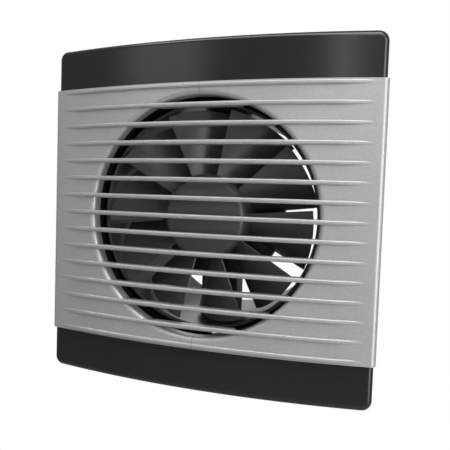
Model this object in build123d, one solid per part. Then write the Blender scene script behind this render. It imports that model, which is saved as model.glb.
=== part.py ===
from build123d import *
import math
import os

# Bathroom extractor fan for a 125 mm duct. Millimetres.
# +X is right as seen from the room, +Y goes into the wall and +Z is up.
# The origin is on the duct axis, in the plane of the wall.

# ---- Casing, the dark shell on the wall
CASE_WIDTH = 180.0
CASE_HEIGHT = 182.0
PROJECTION = 47.0  # wall to the crest of the middle of the grille
BOW_RADIUS = 500.0  # arc of the bar crests, about an upright axis
CASE_WALL = 2.2
CASE_CORNER_RADIUS = 5.0
CASE_EDGE_RADIUS = 3.0
WALL_GAP = 0.5  # casing's rear edge to the wall
FACE_SETBACK = 2.2  # bar crests to the casing's own face
COLLAR_WALL = 1.6
COLLAR_GAP = 0.4  # collar's bore round the grille's lip
COLLAR_OVERLAP = 3.0  # how far the collar reaches over the duct's mouth
GUIDE_WIDTH = 8.0
GUIDE_DEPTH = 1.6
GUIDE_INSET = 42.0  # guide's middle from the casing's side

# ---- Grille, the silver panel clipped over the casing
OPENING_MARGIN = 0.5  # opening's edge beyond the duct's outside
OPENING_BORDER = 6.3  # panel above and below the opening
GRILLE_THICKNESS = 2.0
GRILLE_SIDE_THICKNESS = 1.7
GRILLE_SIDE_PROUD = 1.0  # beyond the casing's side
GRILLE_EDGE_RADIUS = 3.0
GRILLE_REAR_GAP = 2.5  # side skirt's rear edge to the wall
SEAT_CLEARANCE = 0.1  # between the panel's back and its seat
OPENING_ROUND = 2.2
LIP_WALL = 1.8  # lip behind the opening's edge
LIP_DEPTH = 6.5  # panel's face to the lip's rear edge
BAR_COUNT = 15
BAR_EDGE = 1.8  # outermost bar's middle to the panel's edge
BAR_WIDTH = 2.4
BAR_PROUD = 1.0  # crest above the panel's face
BAR_DEPTH = 4.6  # crest to the bar's back, across the opening
BAR_ROUND = 0.9
BAR_END_INSET = 2.8  # bar's end from the casing's side
BAR_END_TAPER = 17.0
HOOK_WIDTH = 6.0
HOOK_THICKNESS = 1.5
HOOK_BARB = 0.8
HOOK_REACH = 2.6  # hook's end beyond the inside of the casing's front
HOOK_CLEARANCE = 0.3
BARB_CLEARANCE = 0.1
BAR_SINK = 0.2  # bar's strip under the panel's face
BAR_BITE = 0.3  # bar's strip into the opening's edge
HOOK_INSET = 20.0  # hook's middle from the casing's side
HOOK_DROP = 9.0  # hook's middle from the panel's top or bottom edge

# ---- Housing: base plate, duct, struts and motor cup in one moulding
PLATE_THICKNESS = 2.5
RIM_HEIGHT = 8.0
RIM_THICKNESS = 2.0
RIM_CLEARANCE = 0.5  # rim to the inside of the casing
DUCT_BORE_RADIUS = 59.5
DUCT_WALL = 2.0
FLANGE_WIDTH = 2.5  # duct's flange, set into the base plate
DUCT_MOUTH_DEPTH = 16.7  # bar crests to the duct's mouth
SPIGOT_LENGTH = 47.0  # beyond the wall plane
STRUT_WIDTH = 22.0
STRUT_WALL = 1.5
STRUT_FRONT = 3.5  # ahead of the wall plane
STRUT_DEPTH = 13.0
CARRIER_RADIUS = 38.0  # round plate between the cup and the struts
CARRIER_RIM = 5.0
CUP_WALL = 2.0
CUP_CLEARANCE = 0.5
CUP_FLOOR = 2.0
SLOT_SPACING_X = 150.0
SLOT_SPACING_Z = 150.0
SLOT_WIDTH = 4.5
SLOT_LENGTH = 9.0

# ---- Impeller
BLADE_COUNT = 10
BLADE_SPAN_DEG = 34.2
FIRST_EDGE_DEG = 5.0  # first blade's front edge, from +X towards +Z
TIP_CLEARANCE = 1.7
BLADE_THICKNESS = 1.6
BLADE_EDGE = 0.7
BLADE_CAMBER = 0.09  # of the chord
BLADE_MOUTH_LEAD = 2.1  # tips stand this far ahead of the duct's mouth
BLADE_REAR_GAP = 2.5  # blades' rear edge to the struts
ROOT_SETBACK = 2.9  # front edge lies this much deeper at the root
HUB_RADIUS = 23.0
HUB_WALL = 1.8
HUB_DOME_HEIGHT = 3.0
HUB_EDGE_RADIUS = 4.5
HUB_NOSE = 4.4  # dome's apex ahead of the blade tips
HUB_RIB_COUNT = 5
HUB_RIB_THICKNESS = 1.4
INSERT_WALL = 1.5
INSERT_LENGTH = 18.0
INSERT_FLOOR = 1.5  # hub's wall ahead of the sleeve
BOSS_WALL = 2.5

# ---- Motor: four shaded poles, cage rotor, two end bells
CORE_RADIUS = 22.0
CORE_LENGTH = 14.0
YOKE_THICKNESS = 4.5
POLE_COUNT = 4
POLE_WIDTH = 5.0
SHOE_THICKNESS = 1.6
SHOE_SPAN_DEG = 72.0
ROTOR_RADIUS = 8.5
AIR_GAP = 0.35
SHADING_START_DEG = 13.0
SHADING_LEG_DEG = 4.0
SHADING_DEPTH = 0.95
SHADING_END = 0.8  # how far the ring stands out of the stack
BOBBIN_WALL = 0.7
WINDING_THICKNESS = 3.0
WINDING_ROUND = 2.0
BELL_WALL = 1.2
BELL_PLATE = 1.5
BELL_ROOM = 3.0  # winding ends to the inside of the bell plate
BELL_FRONT = 2.0  # front bell's face ahead of the wall plane
SHAFT_RADIUS = 2.0
RUNNING_CLEARANCE = 0.03
SHAFT_TAIL = 2.0  # beyond the rear bush
BUSH_WALL = 2.5
BUSH_LENGTH = 7.5
FELT_WALL = 1.5
FELT_LENGTH = 3.0
END_FLOAT = 0.4
WASHER_THICKNESS = 0.6
WASHER_RADIUS = 4.2
CAGE_BARS = 12
CAGE_BAR_RADIUS = 0.8
CAGE_RING_THICKNESS = 2.6
CAGE_RING_WIDTH = 3.4
MOTOR_SCREW_RADIUS = 1.25
SCREW_HOLE_CLEARANCE = 0.1
PILLAR_WALL = 1.1
NUT_RADIUS = 2.6
NUT_HEIGHT = 2.0
DAMPER_LENGTH = 4.0
DAMPER_WALL = 1.2
RING_CLIP_THICKNESS = 0.8
RING_CLIP_RADIUS = 3.6
CLIP_ROOM = 2.0  # round the shaft's end, through the cup's floor
FUSE_RADIUS = 1.2
FUSE_LENGTH = 9.0

# ---- Wiring
LEAD_RADIUS = 0.9
LEAD_SPACING = 4.2
LEAD_BEND = 3.5
LEAD_WAY_SPARE = 4.5  # opening in the base plate beyond the outer lead
LEAD_WAY_REAR = 1.5  # rear of the opening in the duct's wall
LEAD_WAY_WIDTH = 8.5
LEAD_GAP = 0.7  # round a lead where it leaves the bell and the cup
LEAD_LEVEL = 10.0  # leads' height off the wall beside the terminal block
BLOCK_LENGTH = 18.0  # along X
BLOCK_DEPTH = 12.0  # along Y
POLE_PITCH = 8.0
BLOCK_INSET = 40.0  # block's middle from the casing's side
BLOCK_FOOT_GAP = 17.0  # block's middle above the casing's underside
PAD_HEIGHT = 3.0
CLAMP_TUBE_SIDE = 4.6
WIRE_BORE_RADIUS = 1.6
TERMINAL_SCREW_RADIUS = 1.2
ENTRY_RADIUS = 6.5  # cable entry in the base plate
ENTRY_INSET = 17.0  # entry's middle from the casing's side
ENTRY_HEIGHT = 45.0  # entry's middle above the casing's underside
GROMMET_WALL = 2.0
GROMMET_LIP = 1.6
CABLE_RADIUS = 4.0
CLAMP_DROP = 14.0  # clamp bar below the cable entry
CLAMP_WIDTH = 6.5
CLAMP_THICKNESS = 2.4
CLAMP_SPACING = 15.0
SMALL_SCREW_RADIUS = 1.3
SMALL_HEAD_RADIUS = 2.6
SMALL_HEAD_HEIGHT = 1.6
SMALL_SCREW_LENGTH = 6.0
POST_RADIUS = 3.0
PILOT_FLOOR = 0.8  # left under a pilot hole
PILOT_SPARE = 0.5  # pilot hole beyond its screw
POST_HEIGHT = 6.5

# ---- Cover screw, from below at the middle
COVER_SCREW_RADIUS = 1.6
COVER_HEAD_RADIUS = 3.4
COVER_HEAD_HEIGHT = 2.0
COVER_SCREW_LENGTH = 9.0
COVER_SCREW_DEPTH = 6.0  # screw's axis ahead of the wall plane
COVER_SCREW_CLEARANCE = 0.5
PAD_THICKNESS = 1.6
LUG_WIDTH = 12.0
RECESS_SPARE = 0.6
HEAD_SEAT_GAP = 0.4  # screw head to the recess's floor

# ---- Derived sizes
HALF_W = CASE_WIDTH / 2
HALF_H = CASE_HEIGHT / 2
DUCT_OUTER_RADIUS = DUCT_BORE_RADIUS + DUCT_WALL
FLANGE_RADIUS = DUCT_OUTER_RADIUS + FLANGE_WIDTH
OPENING_RADIUS = DUCT_OUTER_RADIUS + OPENING_MARGIN
GRILLE_HEIGHT = 2 * (OPENING_RADIUS + OPENING_BORDER)
BAR_PITCH = (GRILLE_HEIGHT - 2 * BAR_EDGE) / (BAR_COUNT - 1)
BOW_CENTRE_Y = BOW_RADIUS - PROJECTION
FACE_RADIUS = BOW_RADIUS - FACE_SETBACK
CASE_REAR = -WALL_GAP
PANEL_RADIUS = BOW_RADIUS - BAR_PROUD
PANEL_BACK_RADIUS = PANEL_RADIUS - GRILLE_THICKNESS
PANEL_HALF_W = HALF_W + GRILLE_SIDE_PROUD
PANEL_HALF_H = GRILLE_HEIGHT / 2
SEAT_RADIUS = PANEL_BACK_RADIUS - SEAT_CLEARANCE
SEAT_HALF_W = PANEL_HALF_W - GRILLE_SIDE_THICKNESS - SEAT_CLEARANCE
CAVITY_RADIUS = FACE_RADIUS - CASE_WALL
MOUTH_Y = DUCT_MOUTH_DEPTH - PROJECTION
COLLAR_RADIUS = OPENING_RADIUS + LIP_WALL + COLLAR_GAP
HOOK_X = HALF_W - HOOK_INSET
HOOK_Z = PANEL_HALF_H - HOOK_DROP
GUIDE_X = HALF_W - GUIDE_INSET
RIM_HALF_W = HALF_W - CASE_WALL - RIM_CLEARANCE
RIM_HALF_H = HALF_H - CASE_WALL - RIM_CLEARANCE
STRUT_Y = -STRUT_FRONT
BLADE_REAR = STRUT_Y - BLADE_REAR_GAP
TIP_RADIUS = DUCT_BORE_RADIUS - TIP_CLEARANCE
TIP_FRONT = MOUTH_Y - BLADE_MOUTH_LEAD
HUB_APEX = TIP_FRONT - HUB_NOSE

BELL_Y = -BELL_FRONT
WINDING_FRONT = BELL_Y + BELL_PLATE + BELL_ROOM
CORE_FRONT = WINDING_FRONT + WINDING_THICKNESS + BOBBIN_WALL
CORE_REAR = CORE_FRONT + CORE_LENGTH
WINDING_REAR = CORE_REAR + BOBBIN_WALL + WINDING_THICKNESS
REAR_BELL_Y = WINDING_REAR + BELL_ROOM + BELL_PLATE  # rear bell's outer face
BORE_RADIUS = ROTOR_RADIUS + AIR_GAP
SHOE_RADIUS = BORE_RADIUS + SHOE_THICKNESS
YOKE_RADIUS = CORE_RADIUS - YOKE_THICKNESS
SCREW_CIRCLE = CORE_RADIUS - YOKE_THICKNESS / 2
CAGE_FRONT = CORE_FRONT - CAGE_RING_THICKNESS
CAGE_REAR = CORE_REAR + CAGE_RING_THICKNESS
FRONT_BUSH_END = CAGE_FRONT - WASHER_THICKNESS - END_FLOAT
REAR_BUSH_START = CAGE_REAR + WASHER_THICKNESS + END_FLOAT
BUSH_BORE = SHAFT_RADIUS + RUNNING_CLEARANCE
BUSH_RADIUS = BUSH_BORE + BUSH_WALL
FELT_RADIUS = BUSH_RADIUS + FELT_WALL
BUSH_BOSS_RADIUS = FELT_RADIUS + BELL_WALL
CUP_RADIUS = CORE_RADIUS + CUP_CLEARANCE
CUP_OUTER_RADIUS = CUP_RADIUS + CUP_WALL
REAR_BUSH_END = REAR_BUSH_START + BUSH_LENGTH
FLOOR_Y = max(REAR_BELL_Y + DAMPER_LENGTH, REAR_BUSH_END + END_FLOAT)
CUP_REAR = FLOOR_Y + CUP_FLOOR
SHAFT_REAR = REAR_BUSH_END + SHAFT_TAIL
INSERT_RADIUS = SHAFT_RADIUS + INSERT_WALL
INSERT_FRONT = HUB_APEX + HUB_WALL + INSERT_FLOOR
INSERT_REAR = INSERT_FRONT + INSERT_LENGTH

BLOCK_X = -(HALF_W - BLOCK_INSET)
BLOCK_Z = -(HALF_H - BLOCK_FOOT_GAP)
BLOCK_HEIGHT = 2 * POLE_PITCH + 1.0
BLOCK_BACK = -PLATE_THICKNESS - PAD_HEIGHT
BLOCK_FRONT = BLOCK_BACK - BLOCK_DEPTH
TUBE_Y = (BLOCK_BACK + BLOCK_FRONT) / 2
ENTRY_X = -(HALF_W - ENTRY_INSET)
ENTRY_Z = -(HALF_H - ENTRY_HEIGHT)
CLAMP_Z = ENTRY_Z - CLAMP_DROP
POST_TOP = -PLATE_THICKNESS - POST_HEIGHT
RECESS_DEPTH = COVER_HEAD_HEIGHT + RECESS_SPARE
LUG_FACE = HALF_H - RECESS_DEPTH - PAD_THICKNESS - COVER_SCREW_CLEARANCE
HEAD_SEAT_Z = -(HALF_H - RECESS_DEPTH) - HEAD_SEAT_GAP
FAR = 400.0  # longer than the whole fan, for through cuts


# ---- Shapes
def upright(radius, height):
    """Cylinder standing on the origin, along Z."""
    return Cylinder(radius, height, align=(Align.CENTER, Align.CENTER, Align.MIN))


def cyl(radius, y0, y1, x=0.0, z=0.0):
    """Cylinder along Y, from y0 to y1."""
    return Pos(x, y0, z) * Rot(-90, 0, 0) * upright(radius, y1 - y0)


def tube(outer, inner, y0, y1, x=0.0, z=0.0):
    """Round tube along Y."""
    return cyl(outer, y0, y1, x, z) - cyl(inner, y0 - 1, y1 + 1, x, z)


def box(x0, x1, y0, y1, z0, z1):
    """Box between two corners."""
    middle = Pos((x0 + x1) / 2, (y0 + y1) / 2, (z0 + z1) / 2)
    return middle * Box(x1 - x0, y1 - y0, z1 - z0)


def along_y(sketch, y0, y1):
    """Sketch drawn in X and Z, made solid from y0 to y1."""
    return Pos(0, y1, 0) * extrude(Plane.XZ * sketch, y1 - y0)


def sector(inner, outer, start_deg, end_deg, y0, y1):
    """Part of a ring about the duct axis, between two angles from +X."""
    size = end_deg - start_deg

    def corner(radius, degrees):
        angle = math.radians(degrees)
        return (radius * math.cos(angle), radius * math.sin(angle))

    outline = [
        CenterArc((0, 0), outer, start_deg, size),
        Line(corner(outer, end_deg), corner(inner, end_deg)),
        CenterArc((0, 0), inner, end_deg, -size),
        Line(corner(inner, start_deg), corner(outer, start_deg)),
    ]
    return along_y(make_face(outline), y0, y1)


def turned(shape, degrees):
    """Shape turned about the duct axis, from +X towards +Z."""
    return Rot(0, -degrees, 0) * shape


def bow_y(radius, x):
    """Where an arc of the bow crosses x."""
    return BOW_CENTRE_Y - math.sqrt(radius**2 - x**2)


def bowed_block(half_w, half_h, radius, rear):
    """Block whose front face is bowed from side to side."""
    left = (-half_w, bow_y(radius, half_w))
    right = (half_w, bow_y(radius, half_w))
    outline = [
        Line((-half_w, rear), left),
        ThreePointArc(left, (0, bow_y(radius, 0)), right),
        Line(right, (half_w, rear)),
        Line((half_w, rear), (-half_w, rear)),
    ]
    return extrude(make_face(outline), half_h, both=True)


def sided_block(half_w, half_h, radius, rear, side_round):
    """Bowed block with its two upright front edges rounded."""
    block = bowed_block(half_w, half_h, radius, rear)
    upright = block.edges().filter_by(Axis.Z).sort_by(Axis.Y)[:2]
    return fillet(upright, side_round)


def cornered_block(half_w, half_h, radius, rear, corner_round, edge_round):
    """Bowed block with round corners and a rounded rim to its front face."""
    block = bowed_block(half_w, half_h, radius, rear)
    block = fillet(block.edges().filter_by(Axis.Y), corner_round)
    front = block.faces().sort_by(Axis.Y)[0]
    return fillet(front.edges(), edge_round)


def bow_strip(half_x, outer, inner, width, z):
    """Bar that follows the bow, between two arcs, lying level at height z."""
    block = bowed_block(half_x, width / 2, outer, bow_y(inner, 0) + BOW_RADIUS / 20)
    core = bowed_block(half_x + 1, width, inner, bow_y(inner, 0) + BOW_RADIUS / 10)
    return Pos(0, 0, z) * (block - core)


def screw(shank_radius, head_radius, head_height, length):
    """Pan-head screw along Y: its head's seat is at 0, its shank runs to +Y."""
    head = cyl(head_radius, -head_height, 0)
    rim = head.edges().filter_by(GeomType.CIRCLE).sort_by(Axis.Y)[0]
    head = fillet(rim, head_height * 0.4)
    slot_width = head_radius * 0.28
    half = slot_width / 2
    slot = box(-head_radius, head_radius, -head_height - 1, -head_height * 0.5, -half, half)
    cross = slot + turned(slot, 90)
    reach = cyl(head_radius * 0.62, -head_height - 1, 0)
    return head - (cross & reach) + cyl(shank_radius, 0, length)


def group(shapes):
    """Separate solids kept in one node."""
    return Compound(children=[solid for shape in shapes for solid in shape.solids()])


def mirrored_pairs(x, z):
    """The four places that mirror one another about the duct axis."""
    return [(sx * x, sz * z) for sx in (-1, 1) for sz in (-1, 1)]


# ---- Casing
def cover_screw_channel():
    """Room for the cover screw to leave the casing rearwards: head recess and shank slot."""
    head_half = COVER_HEAD_RADIUS + COVER_SCREW_CLEARANCE
    shank_half = COVER_SCREW_RADIUS + COVER_SCREW_CLEARANCE
    recess_top = -HALF_H + RECESS_DEPTH
    axis_y = -COVER_SCREW_DEPTH
    slot_top = recess_top + PAD_THICKNESS + 1
    below = -HALF_H - 1
    foot = Pos(0, axis_y, below)
    return box(-head_half, head_half, axis_y, FAR, below, recess_top) + [
        box(-shank_half, shank_half, axis_y, FAR, below, slot_top),
        foot * upright(head_half, recess_top - below),
        foot * upright(shank_half, slot_top - below),
    ]


def front_casing():
    """Dark bowed shell, stepped back between its bands to seat the grille."""
    outer = cornered_block(
        HALF_W, HALF_H, FACE_RADIUS, CASE_REAR, CASE_CORNER_RADIUS, CASE_EDGE_RADIUS
    )
    seat_round = GRILLE_EDGE_RADIUS - GRILLE_SIDE_THICKNESS
    seat = sided_block(SEAT_HALF_W, HALF_H + 1, SEAT_RADIUS, CASE_REAR, seat_round)
    seat_half = PANEL_HALF_H + SEAT_CLEARANCE
    band = box(-FAR, FAR, -FAR, FAR, -seat_half, seat_half)
    solid = outer - (band - seat)

    cavity = cornered_block(
        HALF_W - CASE_WALL, HALF_H - CASE_WALL, CAVITY_RADIUS, FAR, CASE_CORNER_RADIUS - CASE_WALL, 1.0
    )
    shell = solid - cavity
    collar_end = MOUTH_Y + COLLAR_OVERLAP
    additions = [cyl(COLLAR_RADIUS + COLLAR_WALL, -FAR, collar_end) & solid]
    inside_z = HALF_H - CASE_WALL
    for x, side in mirrored_pairs(GUIDE_X, 1):
        near, far = sorted((side * (inside_z - GUIDE_DEPTH), side * (inside_z + 0.5)))
        guide = box(x - GUIDE_WIDTH / 2, x + GUIDE_WIDTH / 2, -FAR, CASE_REAR - 1, near, far)
        additions.append(guide & solid)
    pad_half = COVER_HEAD_RADIUS + COVER_SCREW_CLEARANCE + CASE_WALL
    pad_front = -COVER_SCREW_DEPTH - pad_half
    pad_top = -HALF_H + RECESS_DEPTH + PAD_THICKNESS
    pad = box(-pad_half, pad_half, pad_front, CASE_REAR, -HALF_H + 1, pad_top)
    additions.append(pad)
    shell = shell + additions
    cuts = [cyl(COLLAR_RADIUS, -FAR, FAR), cover_screw_channel()]
    cuts += [hook_window(x, z) for x, z in mirrored_pairs(HOOK_X, HOOK_Z)]
    return shell - cuts


def hook_window(x, z):
    """Window in the casing's front that one of the grille's hooks snaps through."""
    half_w = HOOK_WIDTH / 2 + HOOK_CLEARANCE
    half_h = HOOK_THICKNESS / 2 + HOOK_CLEARANCE
    return box(x - half_w, x + half_w, -FAR, -PLATE_THICKNESS - RIM_HEIGHT, z - half_h, z + half_h)


# ---- Grille
def grille_hook(x, z):
    """Snap hook behind the panel: a straight leg with a barb that catches the casing's inside."""
    side = math.copysign(1, z)
    wall_inside = bow_y(CAVITY_RADIUS, abs(x) - HOOK_WIDTH / 2)
    leg_end = wall_inside + HOOK_REACH
    half_t = HOOK_THICKNESS / 2
    left, right = x - HOOK_WIDTH / 2, x + HOOK_WIDTH / 2
    leg = box(left, right, bow_y(PANEL_RADIUS, x) + 0.5, leg_end, z - half_t, z + half_t)
    low, high = sorted((z, z + side * (half_t + HOOK_BARB)))
    barb_front = bow_y(CAVITY_RADIUS, abs(x) + HOOK_WIDTH / 2) + BARB_CLEARANCE
    barb = box(left, right, barb_front, leg_end, low, high)
    tip = barb.edges().filter_by(Axis.X).sort_by(Axis.Y)[-2:].sort_by(Axis.Z)
    outer_tip = tip[-1] if side > 0 else tip[0]
    return leg + chamfer(outer_tip, HOOK_BARB * 0.8)


def grille_bar_face():
    """One bar's raised front, running over the panel and the opening, faded out at both ends."""
    half_x = HALF_W - BAR_END_INSET
    crest_x = half_x - BAR_END_TAPER
    sunk = PANEL_RADIUS - 0.7
    end_y = bow_y(PANEL_RADIUS - 0.1, half_x)
    ends = [(-half_x, end_y), (half_x, end_y)]
    roots = [(-half_x, bow_y(sunk, half_x)), (half_x, bow_y(sunk, half_x))]
    crests = [(-crest_x, bow_y(BOW_RADIUS, crest_x)), (crest_x, bow_y(BOW_RADIUS, crest_x))]
    outline = [
        ThreePointArc(crests[0], (0, bow_y(BOW_RADIUS, 0)), crests[1]),
        Line(crests[1], ends[1]),
        Line(ends[1], roots[1]),
        ThreePointArc(roots[1], (0, bow_y(sunk, 0)), roots[0]),
        Line(roots[0], ends[0]),
        Line(ends[0], crests[0]),
    ]
    bar = extrude(make_face(outline), BAR_WIDTH / 2, both=True)
    front = bar.faces().filter_by(GeomType.CYLINDER).sort_by(Axis.Y)[0]
    ramps = [face for face in bar.faces().filter_by(GeomType.PLANE) if face.normal_at().Y < -0.5]
    edges = [edge for face in [front] + ramps for edge in face.edges()]
    return fillet([edge for edge in edges if abs(edge.tangent_at().Z) < 0.5], BAR_ROUND)


def grille_panel():
    """Silver panel: bowed front with side skirts, a round opening and level bars."""
    outer = sided_block(
        PANEL_HALF_W, PANEL_HALF_H, PANEL_RADIUS, -GRILLE_REAR_GAP, GRILLE_EDGE_RADIUS
    )
    inner = sided_block(
        PANEL_HALF_W - GRILLE_SIDE_THICKNESS,
        PANEL_HALF_H + 1,
        PANEL_BACK_RADIUS,
        FAR,
        GRILLE_EDGE_RADIUS - GRILLE_SIDE_THICKNESS,
    )
    skin = outer - inner + opening_lip()
    skin -= cyl(OPENING_RADIUS, -FAR, 0)
    mouth = [edge for edge in skin.edges() if on_opening(edge)]
    rear_limit = min(edge.center().Y for edge in mouth) + GRILLE_THICKNESS / 2
    skin = fillet([edge for edge in mouth if edge.center().Y < rear_limit], OPENING_ROUND)

    bar = grille_bar_face()
    pieces = []
    for place in range(BAR_COUNT):
        z = (place - (BAR_COUNT - 1) / 2) * BAR_PITCH
        pieces.append(Pos(0, 0, z) * bar)
        chord_edge = abs(z) + BAR_WIDTH / 2
        if chord_edge < OPENING_RADIUS:
            half_chord = math.sqrt((OPENING_RADIUS + BAR_BITE) ** 2 - chord_edge**2)
            back = BOW_RADIUS - BAR_DEPTH
            pieces.append(bow_strip(half_chord, PANEL_RADIUS - BAR_SINK, back, BAR_WIDTH, z))
    pieces += [grille_hook(x, z) for x, z in mirrored_pairs(HOOK_X, HOOK_Z)]
    return skin + pieces


def opening_lip():
    """Round lip that carries the opening's edge rearwards, following the bow."""
    wall = bowed_block(PANEL_HALF_W / 2 + OPENING_RADIUS / 2, PANEL_HALF_H, PANEL_RADIUS, 0)
    behind = bowed_block(PANEL_HALF_W, 2 * PANEL_HALF_H, PANEL_RADIUS - LIP_DEPTH, FAR)
    return (wall - behind) & cyl(OPENING_RADIUS + LIP_WALL, -FAR, 0)


def on_opening(edge):
    """Whether an edge runs round the grille's opening."""
    point = edge.position_at(0.37)
    return abs(math.hypot(point.X, point.Z) - OPENING_RADIUS) < 0.01


# ---- Housing
def strut(angle):
    """Hollow strut, open to the rear, from the motor cup to the duct's bore."""
    inner_r = CUP_RADIUS + CUP_WALL / 2
    half = STRUT_WIDTH / 2
    bar = box(inner_r, DUCT_OUTER_RADIUS, STRUT_Y, STRUT_Y + STRUT_DEPTH, -half, half)
    ridge = bar.edges().filter_by(Axis.X).sort_by(Axis.Y)[:2]
    bar = fillet(ridge, STRUT_WALL * 0.6) & cyl(DUCT_BORE_RADIUS, -FAR, FAR)
    channel_half = half - STRUT_WALL
    channel_end = DUCT_BORE_RADIUS - STRUT_WALL
    bar -= box(inner_r - 1, channel_end, STRUT_Y + STRUT_WALL, FAR, -channel_half, channel_half)
    return turned(bar, angle)


def lead_way(front, back, foot, top):
    """Opening for the pair of motor leads."""
    half = LEAD_WAY_WIDTH / 2
    return box(-half, half, front, back, foot, top)


def wall_slots():
    """Four level slots in the base plate for the wall screws."""
    slots = Sketch() + [
        Pos(x, z) * SlotOverall(SLOT_LENGTH, SLOT_WIDTH)
        for x, z in mirrored_pairs(SLOT_SPACING_X / 2, SLOT_SPACING_Z / 2)
    ]
    return along_y(slots, -PLATE_THICKNESS - 1, 1)


def small_posts():
    """Posts for the terminal block and for the two screws of the cable clamp: x, z and height."""
    posts = [(BLOCK_X, BLOCK_Z, -BLOCK_BACK)]
    for side in (-1, 1):
        posts.append((ENTRY_X + side * CLAMP_SPACING / 2, CLAMP_Z, -POST_TOP))
    return posts


def base_plate():
    """Plate against the wall with its rim, posts and the lug that the cover screw threads into."""
    corner = CASE_CORNER_RADIUS - CASE_WALL - RIM_CLEARANCE
    outline = RectangleRounded(2 * RIM_HALF_W, 2 * RIM_HALF_H, corner)
    rim_inner = Rectangle(2 * (RIM_HALF_W - RIM_THICKNESS), 2 * (RIM_HALF_H - RIM_THICKNESS))
    additions = [along_y(outline - rim_inner, -RIM_HEIGHT, 0), cover_screw_lug()]
    additions += [cyl(POST_RADIUS, -height, 0, x, z) for x, z, height in small_posts()]
    body = along_y(outline, -PLATE_THICKNESS, 0) + additions

    foot = -(DUCT_OUTER_RADIUS + LEAD_BEND + LEAD_SPACING + LEAD_WAY_SPARE)
    lug_half = COVER_HEAD_RADIUS + COVER_SCREW_CLEARANCE * 2 + CASE_WALL
    pilot_depth = COVER_SCREW_LENGTH + PILOT_SPARE
    cuts = [
        cyl(FLANGE_RADIUS, -FAR, FAR),
        wall_slots(),
        cyl(ENTRY_RADIUS, -FAR, FAR, ENTRY_X, ENTRY_Z),
        lead_way(-PLATE_THICKNESS - 1, 1, foot, -FLANGE_RADIUS + 1),
        box(-lug_half, lug_half, -FAR, 1, -HALF_H, -LUG_FACE),
        Pos(0, -COVER_SCREW_DEPTH, HEAD_SEAT_Z) * upright(COVER_SCREW_RADIUS, pilot_depth),
    ]
    cuts += [guide_notch(x, side) for x, side in mirrored_pairs(GUIDE_X, 1)]
    cuts += [cyl(SMALL_SCREW_RADIUS, -height - 1, -PILOT_FLOOR, x, z) for x, z, height in small_posts()]
    return body - cuts


def duct():
    """Round duct from its mouth inside the casing to the end of the spigot."""
    body = tube(DUCT_OUTER_RADIUS, DUCT_BORE_RADIUS, MOUTH_Y, SPIGOT_LENGTH)
    circles = body.edges().filter_by(GeomType.CIRCLE)
    end = [edge for edge in circles if edge.center().Y > 0 and edge.radius > DUCT_BORE_RADIUS + 0.01]
    body = chamfer(end, DUCT_WALL * 0.5)
    mouth = [edge for edge in body.edges().filter_by(GeomType.CIRCLE) if edge.center().Y < 0]
    body = fillet(mouth, DUCT_WALL * 0.45) + tube(FLANGE_RADIUS, DUCT_BORE_RADIUS + 0.5, -PLATE_THICKNESS, 0)
    return body - lead_way(-PLATE_THICKNESS, LEAD_WAY_REAR, -FLANGE_RADIUS - 1, -DUCT_BORE_RADIUS + 1)


def lead_notch():
    """Front and rear of the notches that the leads leave the motor through."""
    lead_y = WINDING_FRONT - LEAD_RADIUS
    return lead_y - LEAD_RADIUS - LEAD_GAP, lead_y + LEAD_RADIUS + LEAD_GAP


def carrier_plate():
    """Round plate about the cup, with a rim that stops at the struts' channels."""
    inner = CUP_RADIUS + CUP_WALL / 2
    plate = tube(CARRIER_RADIUS, inner, STRUT_Y, STRUT_Y + STRUT_WALL)
    rim = tube(CARRIER_RADIUS, CARRIER_RADIUS - STRUT_WALL, STRUT_Y, STRUT_Y + CARRIER_RIM)
    channel_half = (STRUT_WIDTH - STRUT_WALL) / 2
    channel = box(-channel_half, channel_half, STRUT_Y + STRUT_WALL, FAR, -FAR, FAR)
    return plate + (rim - channel)


def motor_carrier():
    """Motor cup in its round plate and the two upright struts that hold it in the duct."""
    cup = cyl(CUP_OUTER_RADIUS, STRUT_Y, CUP_REAR)
    cup = fillet(cup.edges().filter_by(GeomType.CIRCLE), CUP_WALL * 0.4)
    front, back = lead_notch()
    screw_hole = cyl(MOTOR_SCREW_RADIUS + SCREW_HOLE_CLEARANCE, 0, FAR, SCREW_CIRCLE)
    cuts = [cyl(CUP_RADIUS, -FAR, FLOOR_Y), cyl(RING_CLIP_RADIUS + CLIP_ROOM, -FAR, FAR)]
    cuts += [turned(screw_hole, angle) for angle in screw_angles()]
    cuts.append(lead_way(front, back, -CUP_OUTER_RADIUS - 0.5, -CUP_RADIUS + 0.5))
    strut_end = DUCT_BORE_RADIUS - STRUT_WALL
    cuts.append(lead_way(STRUT_Y + STRUT_WALL, LEAD_WAY_REAR, -DUCT_BORE_RADIUS - 1, -strut_end + 1))
    return cup + [strut(90), strut(270), carrier_plate()] - cuts


def guide_notch(x, side):
    """Notch in the rim for one of the casing's guide ribs."""
    half = GUIDE_WIDTH / 2 + RIM_CLEARANCE
    inner = HALF_H - CASE_WALL - GUIDE_DEPTH - RIM_CLEARANCE
    low, high = sorted((side * inner, side * HALF_H))
    return box(x - half, x + half, -FAR, 1, low, high)


def cover_screw_lug():
    """Block inside the rim that the cover screw threads up into."""
    half = LUG_WIDTH / 2
    return box(-half, half, -COVER_SCREW_DEPTH - half, 0, -LUG_FACE - 0.5, -LUG_FACE + COVER_SCREW_LENGTH)


def screw_angles():
    """Motor screws lie midway between the poles."""
    step = 360 / POLE_COUNT
    return [step * (turn + 0.5) for turn in range(POLE_COUNT)]


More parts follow.
